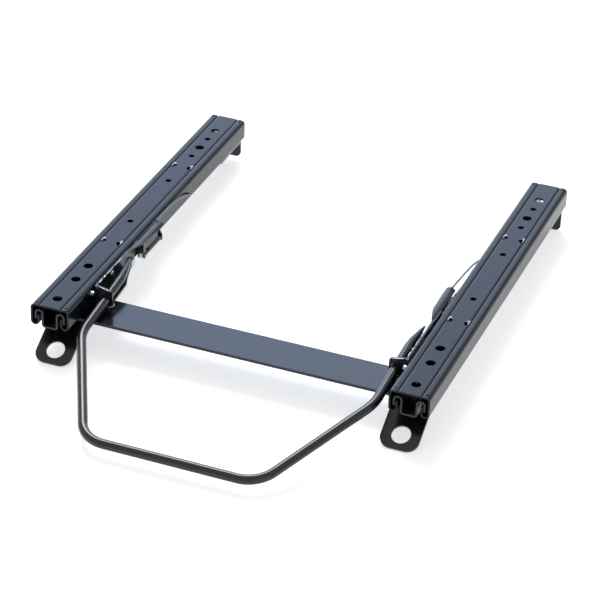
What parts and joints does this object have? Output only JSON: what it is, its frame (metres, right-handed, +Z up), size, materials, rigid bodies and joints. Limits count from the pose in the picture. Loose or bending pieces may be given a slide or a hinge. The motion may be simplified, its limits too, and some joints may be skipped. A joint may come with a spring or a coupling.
{
  "type": "seat slide rail",
  "caption": "Pair of black steel seat slide rails joined by a cross strip, with sloping front feet, rear legs and a bent pull bar that lifts to release the locks.",
  "frame": {"origin": "on the floor plane under the middle of the whole assembly's box, at rest", "axes": "+X to the right rail, +Y to the rear along the slide, +Z up"},
  "size_m": [0.383, 0.541, 0.0557],
  "materials": {
    "rail_paint": "semi-gloss black",
    "bracket_paint": "semi-gloss black",
    "bar_paint": "gloss black",
    "lever_paint": "semi-gloss black",
    "zinc_steel": "zinc plated",
    "spring_steel": "drawn wire",
    "ball_steel": "ground"
  },
  "bodies": {
    "base": {"lower_rail_left": "rail_paint", "lower_rail_right": "rail_paint", "cross_strip": "bracket_paint", "front_foot_left": "bracket_paint", "front_foot_right": "bracket_paint", "rear_foot_left": "bracket_paint", "rear_foot_right": "bracket_paint", "rail_rivets": "bracket_paint", "strip_rivets": "zinc_steel"},
    "carriage": {"upper_rail_left": "rail_paint", "upper_rail_right": "rail_paint", "lever_pivots": "zinc_steel", "lever_stops": "zinc_steel", "lock_ears_left": "lever_paint", "lock_ears_right": "lever_paint", "lock_pins": "zinc_steel", "return_spring_left": "spring_steel", "return_spring_right": "spring_steel"},
    "bearings": {"ball_cages_left": "zinc_steel", "ball_cages_right": "zinc_steel", "balls_left": "ball_steel", "balls_right": "ball_steel"},
    "handle": {"handle_bar": "bar_paint", "release_lever_left": "lever_paint", "release_lever_right": "lever_paint", "lever_rivets": "zinc_steel"},
    "lock_left": {"lock_plate_left": "lever_paint"},
    "lock_right": {"lock_plate_right": "lever_paint"}
  },
  "joints": [
    {"name": "seat_slide", "type": "slide", "parent": "base", "child": "carriage", "axis": [0, 1, 0], "range_m": [-0.075, 0.015]},
    {"name": "bearing_roll", "type": "slide", "parent": "base", "child": "bearings", "axis": [0, 1, 0], "range_m": [-0.0375, 0.0075]},
    {"name": "handle_lift", "type": "hinge", "parent": "carriage", "child": "handle", "pos_m": [0, -0.0185, 0.0393], "axis": [-1, 0, 0], "range_deg": [0, 5], "stiffness_Nm_per_rad": 6},
    {"name": "lock_turn_left", "type": "hinge", "parent": "carriage", "child": "lock_left", "pos_m": [-0.149, 0.026, 0.0343], "axis": [0, 1, 0], "range_deg": [0, 15]},
    {"name": "lock_turn_right", "type": "hinge", "parent": "carriage", "child": "lock_right", "pos_m": [0.149, 0.026, 0.0343], "axis": [0, -1, 0], "range_deg": [0, 15]}
  ],
  "couplings": [
    {"joint": "bearing_roll", "follows": "seat_slide", "ratio": 0.5},
    {"joint": "lock_turn_left", "follows": "handle_lift", "ratio": 3},
    {"joint": "lock_turn_right", "follows": "handle_lift", "ratio": 3}
  ]
}
